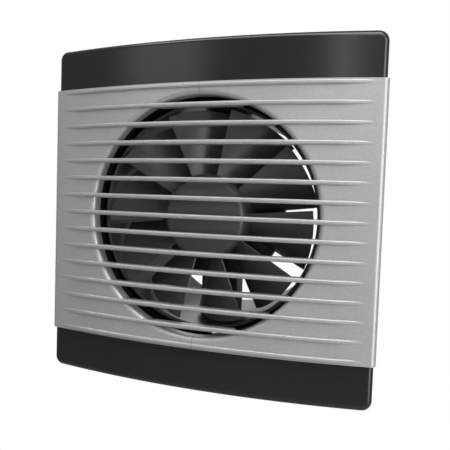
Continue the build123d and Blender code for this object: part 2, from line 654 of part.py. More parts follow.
# ---- Impeller
def blade_section(distance, share):
    """Cambered section of a blade, square to +X at a distance from the axis."""
    front = TIP_FRONT + ROOT_SETBACK * (1 - share)
    half = distance * math.tan(math.radians(BLADE_SPAN_DEG / 2))
    lead = Vector(half, -front)
    trail = Vector(-half, -BLADE_REAR)
    chord = lead - trail
    across = Vector(-chord.Y, chord.X).normalized()
    crown = (lead + trail) * 0.5 + across * (BLADE_CAMBER * chord.length)
    edge = across * (BLADE_EDGE / 2)
    belly = across * (BLADE_THICKNESS / 2)
    outline = [
        ThreePointArc(trail + edge, crown + belly, lead + edge),
        Line(lead + edge, lead - edge),
        ThreePointArc(lead - edge, crown - belly, trail - edge),
        Line(trail - edge, trail + edge),
    ]
    plane = Plane(origin=(distance, 0, 0), x_dir=(0, 0, 1), z_dir=(1, 0, 0))
    return plane * make_face(outline)


def blade():
    """Twisted blade about +X, from inside the hub's wall to the tip circle."""
    root = HUB_RADIUS - HUB_WALL * 0.8
    reach = TIP_RADIUS + 1.0 - root
    shares = (0.0, 0.5, 1.0)
    body = loft([blade_section(root + reach * share, share) for share in shares])
    return body & cyl(TIP_RADIUS, -FAR, FAR)


def hub_dome(radius, apex, rear):
    """Round cap whose front is part of the nose's sphere."""
    sphere_radius = (HUB_RADIUS**2 + HUB_DOME_HEIGHT**2) / (2 * HUB_DOME_HEIGHT)
    return cyl(radius, apex, rear) & Pos(0, apex + sphere_radius, 0) * Sphere(sphere_radius)


def impeller():
    """Hub with a domed nose and its ring of blades."""
    hub = hub_dome(HUB_RADIUS, HUB_APEX, BLADE_REAR)
    rim = hub.edges().filter_by(GeomType.CIRCLE).sort_by(Axis.Y)[0]
    hub = fillet(rim, HUB_EDGE_RADIUS)
    inner_radius = HUB_RADIUS - HUB_WALL
    hollow = hub_dome(inner_radius, HUB_APEX + HUB_WALL, BLADE_REAR + 1)
    hollow_rim = hollow.edges().filter_by(GeomType.CIRCLE).sort_by(Axis.Y)[0]
    hollow = fillet(hollow_rim, HUB_EDGE_RADIUS - HUB_WALL)
    boss = cyl(INSERT_RADIUS + BOSS_WALL, HUB_APEX, INSERT_REAR)
    half_rib = HUB_RIB_THICKNESS / 2
    rib = box(INSERT_RADIUS, inner_radius, HUB_APEX, INSERT_REAR - 2, -half_rib, half_rib)
    ribs = [turned(rib, 360 * turn / HUB_RIB_COUNT) for turn in range(HUB_RIB_COUNT)]
    hollow = hollow - [boss] - ribs
    hub = hub - hollow - cyl(INSERT_RADIUS, INSERT_FRONT, FAR)
    step = 360 / BLADE_COUNT
    middle = FIRST_EDGE_DEG - BLADE_SPAN_DEG / 2
    one = blade()
    return hub + [turned(one, middle + step * turn) for turn in range(BLADE_COUNT)]


def hub_insert():
    """Brass sleeve moulded into the hub, tight on the shaft."""
    return tube(INSERT_RADIUS, SHAFT_RADIUS, INSERT_FRONT, INSERT_REAR)


# ---- Motor
def motor_shaft():
    """Ground steel shaft, chamfered at both ends."""
    shaft = cyl(SHAFT_RADIUS, INSERT_FRONT, SHAFT_REAR)
    return chamfer(shaft.edges().filter_by(GeomType.CIRCLE), SHAFT_RADIUS * 0.2)


def rotor_core():
    """Stack of laminations on the shaft, with round slots for the cage."""
    core = tube(ROTOR_RADIUS, SHAFT_RADIUS, CORE_FRONT, CORE_REAR)
    return core - cage_bars(CORE_FRONT - 1, CORE_REAR + 1)


def cage_bars(y0, y1):
    """Bars of the cage, just under the rotor's skin."""
    circle = ROTOR_RADIUS - CAGE_BAR_RADIUS * 1.6
    step = 360 / CAGE_BARS
    return [turned(cyl(CAGE_BAR_RADIUS, y0, y1, circle), step * turn) for turn in range(CAGE_BARS)]


def rotor_cage():
    """Cast aluminium cage: two end rings joined by the bars."""
    outer = ROTOR_RADIUS - 0.4
    inner = outer - CAGE_RING_WIDTH
    rings = [tube(outer, inner, CAGE_FRONT, CORE_FRONT), tube(outer, inner, CORE_REAR, CAGE_REAR)]
    return rings[0] + rings[1:] + cage_bars(CORE_FRONT - 1, CORE_REAR + 1)


def thrust_washers():
    """Fibre washers between the rotor and the bushes."""
    starts = (CAGE_FRONT - WASHER_THICKNESS, CAGE_REAR)
    return group([tube(WASHER_RADIUS, SHAFT_RADIUS, y, y + WASHER_THICKNESS) for y in starts])


def rotor_spacers():
    """Sleeves on the shaft that carry the washers inside the end rings."""
    outer = WASHER_RADIUS - 0.4
    return group([
        tube(outer, SHAFT_RADIUS, CAGE_FRONT, CORE_FRONT),
        tube(outer, SHAFT_RADIUS, CORE_REAR, CAGE_REAR),
    ])


def retaining_ring():
    """Open ring on the shaft's tail, behind the rear bush."""
    y0 = REAR_BUSH_END + END_FLOAT
    ring = tube(RING_CLIP_RADIUS, SHAFT_RADIUS, y0, y0 + RING_CLIP_THICKNESS)
    return ring - box(0, FAR, y0 - 1, y0 + RING_CLIP_THICKNESS + 1, -SHAFT_RADIUS * 0.7, SHAFT_RADIUS * 0.7)


def pole_angles():
    """Directions of the poles, from +X."""
    return [360 / POLE_COUNT * turn for turn in range(POLE_COUNT)]


def stator_core():
    """Laminated ring with salient poles, slotted for the shading rings."""
    core = tube(CORE_RADIUS, YOKE_RADIUS, CORE_FRONT, CORE_REAR)
    half_shoe = SHOE_SPAN_DEG / 2
    half_pole = POLE_WIDTH / 2
    poles = []
    for angle in pole_angles():
        arm = box(SHOE_RADIUS - 0.5, YOKE_RADIUS + 0.5, CORE_FRONT, CORE_REAR, -half_pole, half_pole)
        shoe = sector(BORE_RADIUS, SHOE_RADIUS, -half_shoe, half_shoe, CORE_FRONT, CORE_REAR)
        poles += [turned(arm, angle), turned(shoe, angle)]
    core = core + poles
    slot_end = SHADING_START_DEG + SHADING_LEG_DEG
    slot = sector(
        BORE_RADIUS - 1, BORE_RADIUS + 0.1 + SHADING_DEPTH, SHADING_START_DEG - 0.3, slot_end + 0.3,
        CORE_FRONT - 1, CORE_REAR + 1,
    )
    cuts = [turned(slot, angle) for angle in pole_angles()]
    hole = cyl(MOTOR_SCREW_RADIUS + SCREW_HOLE_CLEARANCE, CORE_FRONT - 1, CORE_REAR + 1, SCREW_CIRCLE)
    cuts += [turned(hole, angle) for angle in screw_angles()]
    return core - cuts


def shading_rings():
    """Copper loops round one edge of each pole shoe."""
    inner = BORE_RADIUS + 0.1
    outer = inner + SHADING_DEPTH
    front = CORE_FRONT - SHADING_END
    rear = CORE_REAR + SHADING_END
    tip = SHOE_SPAN_DEG / 2 + 0.3
    leg = sector(inner, outer, SHADING_START_DEG, SHADING_START_DEG + SHADING_LEG_DEG, front, rear)
    tip_leg = sector(inner, outer, tip, tip + SHADING_LEG_DEG, front, rear)
    ends = [
        sector(inner, outer, SHADING_START_DEG, tip + SHADING_LEG_DEG, front, CORE_FRONT),
        sector(inner, outer, SHADING_START_DEG, tip + SHADING_LEG_DEG, CORE_REAR, rear),
    ]
    loop = leg + [tip_leg] + ends
    return group([turned(loop, angle) for angle in pole_angles()])


def coil_limits():
    """Radial start and end of a bobbin on its pole."""
    half_w = POLE_WIDTH / 2 + BOBBIN_WALL + WINDING_THICKNESS
    start = SHOE_RADIUS + 0.2
    end = math.sqrt(YOKE_RADIUS**2 - half_w**2) - 0.2
    return start, end


def coil_prism(half_w, overhang, start, end, rounding=0.0):
    """Block round the pole on +X: half_w either side, overhang beyond the stack's ends."""
    block = box(start, end, CORE_FRONT - overhang, CORE_REAR + overhang, -half_w, half_w)
    if rounding:
        block = fillet(block.edges().filter_by(Axis.X), rounding)
    return block


def coil_bobbins():
    """Moulded bobbins: a square tube with a flange at each end, one on each pole."""
    start, end = coil_limits()
    half_tube = POLE_WIDTH / 2 + BOBBIN_WALL
    half_flange = half_tube + WINDING_THICKNESS
    reach = BOBBIN_WALL + WINDING_THICKNESS
    bobbin = coil_prism(half_tube, BOBBIN_WALL, start, end)
    bobbin += coil_prism(half_flange, reach, start, start + BOBBIN_WALL)
    bobbin += coil_prism(half_flange, reach, end - BOBBIN_WALL, end)
    bobbin -= coil_prism(POLE_WIDTH / 2, 0, start - 1, end + 1)
    return group([turned(bobbin, angle) for angle in pole_angles()])


def coil_windings():
    """Wound copper between the bobbin's flanges."""
    start, end = coil_limits()
    half_tube = POLE_WIDTH / 2 + BOBBIN_WALL
    start += BOBBIN_WALL
    end -= BOBBIN_WALL
    reach = BOBBIN_WALL + WINDING_THICKNESS
    winding = coil_prism(half_tube + WINDING_THICKNESS, reach, start, end, WINDING_ROUND)
    winding -= coil_prism(half_tube, BOBBIN_WALL, start - 1, end + 1)
    return group([turned(winding, angle) for angle in pole_angles()])


def end_bell(face, inward, core_face, bush_start, bush_end):
    """Pressed end bell: outer face at y=face, opening in the inward direction (+1 or -1)."""
    low, high = sorted((face, core_face))
    bell = cyl(CORE_RADIUS, low, high)
    inside_low, inside_high = sorted((face + inward * BELL_PLATE, core_face + inward))
    room = cyl(CORE_RADIUS - BELL_WALL, inside_low, inside_high)
    pillar = cyl(MOTOR_SCREW_RADIUS + PILLAR_WALL, low, high, SCREW_CIRCLE) & cyl(CORE_RADIUS, low, high)
    room = room - [turned(pillar, angle) for angle in screw_angles()]
    bell = bell - room + cyl(BUSH_BOSS_RADIUS, bush_start, bush_end)
    hole = cyl(MOTOR_SCREW_RADIUS + SCREW_HOLE_CLEARANCE, low - 1, high + 1, SCREW_CIRCLE)
    felt_low, felt_high = felt_limits(inward, bush_start, bush_end)
    cuts = [cyl(BUSH_RADIUS, bush_start - 1, bush_end + 1), cyl(FELT_RADIUS, felt_low, felt_high)]
    cuts += [turned(hole, angle) for angle in screw_angles()]
    vent = cyl(BELL_WALL * 1.6, low - 1, high + 1, (BUSH_BOSS_RADIUS + CORE_RADIUS) / 2)
    cuts += [turned(vent, angle) for angle in pole_angles()]
    return bell - cuts


def felt_limits(inward, bush_start, bush_end):
    """Felt pocket at the inner end of a bush boss, open towards the rotor."""
    if inward > 0:
        return bush_end - FELT_LENGTH, bush_end
    return bush_start, bush_start + FELT_LENGTH


def front_end_bell():
    """Front bell, notched below for the leads."""
    bush_start = FRONT_BUSH_END - BUSH_LENGTH
    bell = end_bell(BELL_Y, 1, CORE_FRONT, bush_start, FRONT_BUSH_END)
    front, back = lead_notch()
    return bell - lead_way(front, back, -CORE_RADIUS - 1, -CORE_RADIUS + BELL_WALL + 1)


def rear_end_bell():
    """Rear bell."""
    return end_bell(REAR_BELL_Y, -1, CORE_REAR, REAR_BUSH_START, REAR_BUSH_END)


def bush(start):
    """Sintered bronze bush with a chamfered bore."""
    sleeve = tube(BUSH_RADIUS, BUSH_BORE, start, start + BUSH_LENGTH)
    bore = [edge for edge in sleeve.edges().filter_by(GeomType.CIRCLE) if abs(edge.radius - BUSH_BORE) < 0.01]
    return chamfer(bore, 0.3)


def oil_felts():
    """Felt rings that feed oil to the bushes."""
    front = felt_limits(1, FRONT_BUSH_END - BUSH_LENGTH, FRONT_BUSH_END)
    rear = felt_limits(-1, REAR_BUSH_START, REAR_BUSH_END)
    return group([tube(FELT_RADIUS, BUSH_RADIUS, low, high) for low, high in (front, rear)])


def motor_screws():
    """Long screws through bells, core and dampers to the cup's floor."""
    head_height = MOTOR_SCREW_RADIUS * 1.2
    length = CUP_REAR + NUT_HEIGHT + 1.0 - BELL_Y
    head_radius = MOTOR_SCREW_RADIUS * 1.9
    one = Pos(SCREW_CIRCLE, BELL_Y, 0) * screw(MOTOR_SCREW_RADIUS, head_radius, head_height, length)
    return group([turned(one, angle) for angle in screw_angles()])


def motor_nuts():
    """Hexagon nuts behind the cup's floor."""
    nut = along_y(Pos(SCREW_CIRCLE, 0) * RegularPolygon(NUT_RADIUS, 6), CUP_REAR, CUP_REAR + NUT_HEIGHT)
    nut -= cyl(MOTOR_SCREW_RADIUS, CUP_REAR - 1, CUP_REAR + NUT_HEIGHT + 1, SCREW_CIRCLE)
    return group([turned(nut, angle) for angle in screw_angles()])


def motor_dampers():
    """Rubber rings between the rear bell and the cup's floor."""
    hole = MOTOR_SCREW_RADIUS + SCREW_HOLE_CLEARANCE
    one = tube(hole + DAMPER_WALL, hole, REAR_BELL_Y, FLOOR_Y, SCREW_CIRCLE)
    return group([turned(one, angle) for angle in screw_angles()])


def thermal_fuse():
    """Small cut-out lying on the front of one winding."""
    start, end = coil_limits()
    fuse_x = (start + end) / 2
    body = Cylinder(FUSE_RADIUS, FUSE_LENGTH)
    body = fillet(body.edges().filter_by(GeomType.CIRCLE), FUSE_RADIUS * 0.4)
    return Pos(fuse_x, WINDING_FRONT - FUSE_RADIUS, 0) * body


# ---- Wiring
def motor_lead(side):
    """One insulated lead, from the lowest winding along the strut to its terminal."""
    start, end = coil_limits()
    x = side * LEAD_SPACING / 2
    coil_y = WINDING_FRONT - LEAD_RADIUS - 0.1
    strut_y = STRUT_Y + STRUT_WALL + LEAD_RADIUS + 0.1
    exit_z = -(DUCT_OUTER_RADIUS + LEAD_BEND + LEAD_RADIUS + (1 + side) / 2 * LEAD_SPACING)
    pole_z = BLOCK_Z - side * POLE_PITCH / 2
    block_end = BLOCK_X + BLOCK_LENGTH / 2
    points = [
        (x, coil_y, -(start + end) / 2),
        (x, coil_y, -CUP_OUTER_RADIUS - 4),
        (x, strut_y, -CUP_OUTER_RADIUS - 18),
        (x, strut_y, exit_z),
        (x, -LEAD_LEVEL, exit_z),
        (x - 14, -LEAD_LEVEL, exit_z),
        (block_end + 9, TUBE_Y, pole_z),
        (block_end - 5, TUBE_Y, pole_z),
    ]
    path = FilletPolyline(*points, radius=LEAD_BEND)
    return sweep(Plane(origin=path @ 0, z_dir=path % 0) * Circle(LEAD_RADIUS), path)


def motor_leads():
    """The pair of leads."""
    return group([motor_lead(-1), motor_lead(1)])


def pole_levels():
    """Heights of the terminal block's two ways."""
    return [BLOCK_Z + side * POLE_PITCH / 2 for side in (-1, 1)]


def terminal_block():
    """Two-way block with wire ways along X and screw ways along Y."""
    half_l = BLOCK_LENGTH / 2
    half_h = BLOCK_HEIGHT / 2
    block = Pos(BLOCK_X, 0, BLOCK_Z) * box(-half_l, half_l, BLOCK_FRONT, BLOCK_BACK, -half_h, half_h)
    front = block.faces().sort_by(Axis.Y)[0]
    block = chamfer(front.edges(), 1.0)
    half_tube = CLAMP_TUBE_SIDE / 2
    cuts = []
    for z in pole_levels():
        cuts.append(Pos(BLOCK_X, TUBE_Y, z) * Box(FAR, 2 * half_tube, 2 * half_tube))
        for x in clamp_screw_places():
            cuts.append(cyl(TERMINAL_SCREW_RADIUS * 1.6, -FAR, TUBE_Y, x, z))
    cuts.append(cyl(SMALL_SCREW_RADIUS + SCREW_HOLE_CLEARANCE, -FAR, 0, BLOCK_X, BLOCK_Z))
    return block - cuts


def clamp_screw_places():
    """Positions along X of the two screws in each way."""
    return [BLOCK_X - BLOCK_LENGTH / 4, BLOCK_X + BLOCK_LENGTH / 4]


def terminal_tubes():
    """Brass tubes, tapped from the front for their screws."""
    bodies = []
    for z in pole_levels():
        body = Pos(BLOCK_X, TUBE_Y, z) * Box(BLOCK_LENGTH - 3.0, CLAMP_TUBE_SIDE, CLAMP_TUBE_SIDE)
        bore = Pos(BLOCK_X, TUBE_Y, z) * Rot(0, 90, 0) * Cylinder(WIRE_BORE_RADIUS, BLOCK_LENGTH + 2)
        taps = [cyl(TERMINAL_SCREW_RADIUS, -FAR, TUBE_Y, x, z) for x in clamp_screw_places()]
        bodies.append(body - bore - taps)
    return group(bodies)


def terminal_screws():
    """Four cheese-head screws, driven down on to the wires."""
    tip_y = TUBE_Y - LEAD_RADIUS - 0.1
    seat_y = TUBE_Y - CLAMP_TUBE_SIDE / 2 - 0.6
    one = screw(TERMINAL_SCREW_RADIUS, TERMINAL_SCREW_RADIUS * 1.5, 1.4, tip_y - seat_y)
    return group([Pos(x, seat_y, z) * one for x in clamp_screw_places() for z in pole_levels()])


def terminal_block_screw():
    """Screw through the middle of the block into its post."""
    head_radius = SMALL_HEAD_RADIUS * 0.8
    one = screw(SMALL_SCREW_RADIUS, head_radius, SMALL_HEAD_HEIGHT, BLOCK_DEPTH + PAD_HEIGHT)
    return Pos(BLOCK_X, BLOCK_FRONT, BLOCK_Z) * one


def cable_grommet():
    """Rubber grommet in the cable entry, with a lip on the room side."""
    bore = ENTRY_RADIUS - GROMMET_WALL
    lip_y = -PLATE_THICKNESS - GROMMET_LIP
    body = tube(ENTRY_RADIUS, bore, lip_y, 0, ENTRY_X, ENTRY_Z)
    lip = tube(ENTRY_RADIUS + GROMMET_LIP, bore, lip_y, -PLATE_THICKNESS, ENTRY_X, ENTRY_Z)
    return body + lip


def cable_clamp():
    """Arched bar that grips the supply cable against the base plate."""
    arch_y = -PLATE_THICKNESS - CABLE_RADIUS
    bar = Box(CLAMP_SPACING + 2 * POST_RADIUS, CLAMP_THICKNESS, CLAMP_WIDTH)
    bar = Pos(ENTRY_X, POST_TOP - CLAMP_THICKNESS / 2, CLAMP_Z) * bar
    arch = Pos(ENTRY_X, arch_y, CLAMP_Z) * Cylinder(CABLE_RADIUS + CLAMP_THICKNESS, CLAMP_WIDTH)
    front_half = box(-FAR, FAR, -FAR, POST_TOP, -FAR, FAR)
    bar = bar + (arch & front_half)
    bar -= Pos(ENTRY_X, arch_y, CLAMP_Z) * Cylinder(CABLE_RADIUS, CLAMP_WIDTH + 2)
    holes = [
        cyl(SMALL_SCREW_RADIUS + SCREW_HOLE_CLEARANCE, -FAR, FAR, ENTRY_X + side * CLAMP_SPACING / 2, CLAMP_Z)
        for side in (-1, 1)
    ]
    return bar - holes


def cable_clamp_screws():
    """Two screws that hold the clamp bar on its posts."""
    one = screw(SMALL_SCREW_RADIUS, SMALL_HEAD_RADIUS, SMALL_HEAD_HEIGHT, SMALL_SCREW_LENGTH)
    seat_y = POST_TOP - CLAMP_THICKNESS
    return group([Pos(ENTRY_X + side * CLAMP_SPACING / 2, seat_y, CLAMP_Z) * one for side in (-1, 1)])


def cover_screw():
    """Screw that holds the casing, upwards from its underside."""
    one = screw(COVER_SCREW_RADIUS, COVER_HEAD_RADIUS, COVER_HEAD_HEIGHT, COVER_SCREW_LENGTH)
    return Pos(0, -COVER_SCREW_DEPTH, HEAD_SEAT_Z) * Rot(90, 0, 0) * one


PARTS = {
    "front_casing": front_casing,
    "grille_panel": grille_panel,
    "base_plate": base_plate,
    "duct": duct,
    "motor_carrier": motor_carrier,
    "impeller": impeller,
    "hub_insert": hub_insert,
    "motor_shaft": motor_shaft,
    "rotor_core": rotor_core,
    "rotor_cage": rotor_cage,
    "rotor_spacers": rotor_spacers,
    "thrust_washers": thrust_washers,
    "retaining_ring": retaining_ring,
    "stator_core": stator_core,
    "shading_rings": shading_rings,
    "coil_bobbins": coil_bobbins,
    "coil_windings": coil_windings,
    "front_end_bell": front_end_bell,
    "rear_end_bell": rear_end_bell,
    "front_bush": lambda: bush(FRONT_BUSH_END - BUSH_LENGTH),
    "rear_bush": lambda: bush(REAR_BUSH_START),
    "oil_felts": oil_felts,
    "motor_screws": motor_screws,
    "motor_nuts": motor_nuts,
    "motor_dampers": motor_dampers,
    "thermal_fuse": thermal_fuse,
    "motor_leads": motor_leads,
    "terminal_block": terminal_block,
    "terminal_tubes": terminal_tubes,
    "terminal_screws": terminal_screws,
    "terminal_block_screw": terminal_block_screw,
    "cable_grommet": cable_grommet,
    "cable_clamp": cable_clamp,
    "cable_clamp_screws": cable_clamp_screws,
    "cover_screw": cover_screw,
}

os.makedirs("parts", exist_ok=True)
for name, make in PARTS.items():
    export_step(make(), os.path.join("parts", name + ".step"))
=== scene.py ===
import math

import bpy
from bpy.props import FloatProperty, FloatVectorProperty, PointerProperty
from mathutils import Euler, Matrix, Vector


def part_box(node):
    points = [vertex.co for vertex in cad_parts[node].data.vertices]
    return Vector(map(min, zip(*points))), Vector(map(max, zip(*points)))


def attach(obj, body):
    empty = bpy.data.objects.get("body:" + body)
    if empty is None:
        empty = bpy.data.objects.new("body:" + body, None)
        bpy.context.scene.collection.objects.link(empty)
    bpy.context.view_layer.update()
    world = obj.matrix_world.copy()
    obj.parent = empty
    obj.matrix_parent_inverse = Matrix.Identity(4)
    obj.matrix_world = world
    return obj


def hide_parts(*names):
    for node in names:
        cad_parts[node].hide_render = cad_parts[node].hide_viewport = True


bl_info = {
    "name": "Bathroom extractor fan",
    "version": (1, 0, 0),
    "blender": (4, 5, 0),
    "location": "View3D > Sidebar > Extractor Fan",
    "description": "Finishes and fine pieces for a wall extractor fan with a barred silver panel",
    "category": "Object",
}

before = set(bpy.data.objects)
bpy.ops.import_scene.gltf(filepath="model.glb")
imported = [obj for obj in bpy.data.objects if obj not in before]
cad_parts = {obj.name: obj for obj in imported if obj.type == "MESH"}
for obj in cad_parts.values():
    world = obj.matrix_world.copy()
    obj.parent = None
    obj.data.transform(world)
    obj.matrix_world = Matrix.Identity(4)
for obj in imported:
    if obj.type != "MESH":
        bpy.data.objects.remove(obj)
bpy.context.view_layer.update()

MM = 0.001
WINDING_LENGTH = 4.11 * MM  # along the pole
WINDING_HALF_WIDTH = 6.2 * MM
WINDING_DEPTH = 3.0 * MM
WINDING_ROUND = 2.0 * MM
POLES = 4
COLLAR_RADIUS = 1.45 * MM
COLLAR_BORE = 0.92 * MM
COLLAR_LENGTH = 4.6 * MM
COLLAR_EDGE = 0.18 * MM
COLLAR_WAIST = 0.22  # share of the collar's length that the crimp stands back from its middle
POLE_PITCH = 8.0 * MM
PARTING_START = 61.2 * MM  # the parting line runs outwards from here, above and below the opening
PARTING_FADE = 0.4 * MM

BLACK = (0.0, 0.0, 0.0)
WHITE = (1.0, 1.0, 1.0, 1.0)
DUST = (0.2, 0.19, 0.175)

CAMERA_PLACE = (0.08933, -0.27669, 0.00884)
CAMERA_TURN = (87.122, -1.949, 17.725)  # degrees
CAMERA_LENS = 38.79
STAGE_MIDDLE = (0.0, -0.02, 0.0)
SHEET_SIZE = 9.0
SHEET_GLOSS = 0.35  # brightness that the backdrop adds in reflections
ROOM_LIGHT = 0.3
LAMPS = (  # name, place, width, height, watts, whether glossy surfaces mirror it
    ("key", (0.5, -0.75, 1.0), 0.8, 0.8, 8.2, True),
    ("side", (0.97, -0.55, 0.05), 0.6, 1.1, 11.0, True),
    ("top", (-0.05, -0.4, 1.0), 1.2, 0.35, 9.0, True),
    ("window", (-0.56, -0.98, 0.46), 0.42, 0.4, 0.75, True),
    ("strip", (0.29, -1.1, 0.37), 0.09, 0.4, 0.4, True),
    ("front", (0.15, -1.3, 0.05), 0.9, 0.9, 6.3, False),
    ("behind", (-0.6, 1.1, 0.55), 0.8, 0.8, 3.0, True),
)


# ---- Settings
def colour(name, description, default):
    """Colour that a user may change, in linear light."""
    return FloatVectorProperty(
        name=name, description=description, default=default, subtype="COLOR", size=3, min=0.0, max=1.0
    )


def length(name, description, millimetres):
    """Length that a user may change, kept in metres."""
    return FloatProperty(
        name=name, description=description, default=millimetres * MM, unit="LENGTH", precision=5, min=0.0
    )


def share(name, description, default):
    """Plain number from 0 to 1."""
    return FloatProperty(
        name=name, description=description, default=default, subtype="FACTOR", min=0.0, max=1.0
    )


class FanColours(bpy.types.PropertyGroup):
    """Colours of the fan's plastics, metals and wires."""

    panel: colour("Panel", "Silver lacquer of the barred panel", (0.335, 0.335, 0.335))
    casing: colour("Casing", "Moulded casing behind the panel", (0.0085, 0.0088, 0.0093))
    duct: colour("Duct and base", "Duct, struts, motor cup and base plate", (0.034, 0.0343, 0.0355))
    impeller: colour("Impeller", "Blades and hub", (0.05, 0.0504, 0.0518))
    winding: colour("Winding wire", "Enamel on the winding wire", (0.42, 0.12, 0.035))
    lead: colour("Leads", "Soft sleeve of the motor leads", (0.03, 0.09, 0.3))
    block: colour("Terminal block", "Terminal block and cable clamp", (0.72, 0.71, 0.67))
    rubber: colour("Rubber", "Grommet and dampers", (0.018, 0.018, 0.018))


class FanSizes(bpy.types.PropertyGroup):
    """Sizes of the fine detail on the fan's surfaces."""

    fleck: length("Lacquer fleck", "Size of the metallic flecks in the silver lacquer", 0.42)
    peel: length("Orange peel", "Spacing of the lacquer's shallow waves", 2.2)
    spark: length("Moulded grain", "Spacing of the fine grain on the duct and base", 0.5)
    sheet: length("Steel sheet", "Thickness of one sheet in the stacks", 0.5)
    wire: length("Wire", "Diameter of the winding wire", 0.32)
    parting: length("Parting line", "Width of the mould's parting line on the panel", 0.22)


class FanWear(bpy.types.PropertyGroup):
    """How used the fan looks."""

    dust: share("Dust", "Fine dust on the dark plastics", 0.12)
    handling: share("Handling", "Uneven shine from handling and cleaning", 0.5)


# ---- Shader maths
class Signal:
    """One value on its way through a shader; arithmetic on it adds the nodes that work it out."""

    def __init__(self, finish, socket):
        self.finish = finish
        self.socket = socket

    def maths(self, operation, *values):
        """Result of a Math node on this value and the ones given."""
        inputs = dict(enumerate((self, *values)))
        return self.finish.node("ShaderNodeMath", {"operation": operation}, inputs)

    def __add__(self, other):
        return self.maths("ADD", other)

    def __radd__(self, other):
        return self.maths("ADD", other)

    def __sub__(self, other):
        return self.maths("SUBTRACT", other)

    def __rsub__(self, other):
        return (self * -1.0) + other

    def __mul__(self, other):
        return self.maths("MULTIPLY", other)

    def __rmul__(self, other):
        return self.maths("MULTIPLY", other)

    def above(self, low, high):
        """Smooth step of this value from 0 at low to 1 at high."""
        settings = {"interpolation_type": "SMOOTHSTEP"}
        inputs = {"Value": self, "From Min": low, "From Max": high}
        return self.finish.node("ShaderNodeMapRange", settings, inputs)


class Finish:
    """One procedural material: a Principled surface and the nodes that feed it."""

    def __init__(self, name, **constants):
        self.material = bpy.data.materials.new(name)
        self.material.use_nodes = True
        self.tree = self.material.node_tree
        self.surface = self.tree.nodes["Principled BSDF"]
        for socket, value in constants.items():
            self.surface.inputs[socket.replace("_", " ")].default_value = value

    def node(self, kind, settings=None, inputs=None, output=0):
        """Adds a node: its settings first, then the values or links of its sockets."""
        made = self.tree.nodes.new(kind)
        for setting, value in (settings or {}).items():
            setattr(made, setting, value)
        for socket, value in (inputs or {}).items():
            if isinstance(value, Signal):
                self.tree.links.new(value.socket, made.inputs[socket])
            else:
                made.inputs[socket].default_value = value
        return Signal(self, made.outputs[output])

    def place(self):
        """Point on the fan, in metres."""
        return self.node("ShaderNodeTexCoord", output="Object")

    def axes(self, point=None):
        """The point's three coordinates."""
        parts = self.node("ShaderNodeSeparateXYZ", inputs={0: point or self.place()}).socket.node
        return [Signal(self, socket) for socket in parts.outputs]

    def stretched(self, scale, turn=(0.0, 0.0, 0.0)):
        """The point with its axes scaled and turned, for a pattern that runs one way."""
        return self.node("ShaderNodeMapping", inputs={0: self.place(), "Rotation": turn, "Scale": scale})

    def noise(self, size, detail=2.0, roughness=0.5, point=None):
        """Soft random pattern from 0 to 1 whose blotches are about size across."""
        inputs = {"Vector": point or self.place(), "Scale": 1.0 / size}
        inputs.update(Detail=detail, Roughness=roughness)
        return self.node("ShaderNodeTexNoise", inputs=inputs)

    def cells(self, size, point=None):
        """Distance to the nearest of random points about size apart, in cells."""
        inputs = {"Vector": point or self.place(), "Scale": 1.0 / size}
        return self.node("ShaderNodeTexVoronoi", inputs=inputs)

    def ridges(self, along, pitch):
        """Wave from -1 to 1 along a coordinate, one crest to a pitch."""
        return (along * (2.0 * math.pi / pitch)).maths("SINE")

    def blend(self, factor, first, second):
        """Colour between two colours."""
        inputs = {"Factor": factor, 6: with_alpha(first), 7: with_alpha(second)}
        return self.node("ShaderNodeMix", {"data_type": "RGBA"}, inputs, output=2)

    def feed(self, **sockets):
        """Links values into the surface's sockets."""
        for socket, value in sockets.items():
            self.tree.links.new(value.socket, self.surface.inputs[socket.replace("_", " ")])
        return self

    def relief(self, height, depth, strength=1.0):
        """Bumps of a height from 0 to 1 and a depth in metres."""
        inputs = {"Strength": strength, "Distance": depth, "Height": height}
        return self.feed(Normal=self.node("ShaderNodeBump", inputs=inputs))

    def cover(self, *nodes):
        """Gives this finish to CAD nodes or new pieces."""
        for node in nodes:
            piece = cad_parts.get(node) or bpy.data.objects[node]
            piece.data.materials.clear()
            piece.data.materials.append(self.material)


def with_alpha(value):
    """A plain colour with its alpha; a signal is left as it is."""
    return value if isinstance(value, Signal) else (*value[:3], 1.0)


def scaled(value, factor):
    """A plain colour made lighter or darker."""
    return tuple(min(1.0, channel * factor) for channel in value)


# ---- Finishes
def silver_lacquer(colours, sizes, wear):
    """Satin silver lacquer: fine metallic fleck, soft clouds and a shallow orange peel."""
    finish = Finish("silver lacquer", Metallic=0.45, Roughness=0.4, IOR=1.46)
    x, _, z = finish.axes()
    clouds = finish.noise(38 * MM, 2.0, 0.5, finish.stretched((1.0, 1.0, 0.28)))
    fleck = finish.noise(sizes.fleck, 1.0, 0.6)
    coarse = finish.noise(sizes.fleck * 3.2, 2.0, 0.55)
    tone = 0.84 + 0.12 * clouds + 0.34 * (fleck - 0.5) + 0.16 * (coarse - 0.5)
    line_half = sizes.parting / 2
    off_line = x.maths("ABSOLUTE").above(line_half, line_half * 2.4)
    beyond = z.maths("ABSOLUTE").above(PARTING_START, PARTING_START + PARTING_FADE)
    line = (1.0 - off_line) * beyond
    # Along the parting line the colour is darkened: this is painted shade in the line's notch. The relief
    # below sinks the notch itself.
    tone = tone * (1.0 - 0.45 * line)
    shade = finish.blend(tone, BLACK, colours.panel)
    rough = 0.36 + 0.1 * (fleck - 0.5) + 0.08 * wear.handling * clouds
    peel = finish.noise(sizes.peel, 1.0, 0.4)
    height = 0.55 * fleck + 1.6 * peel - 2.0 * line
    finish.feed(Base_Color=shade, Roughness=rough)
    return finish.relief(height, 0.012 * MM, 0.9)


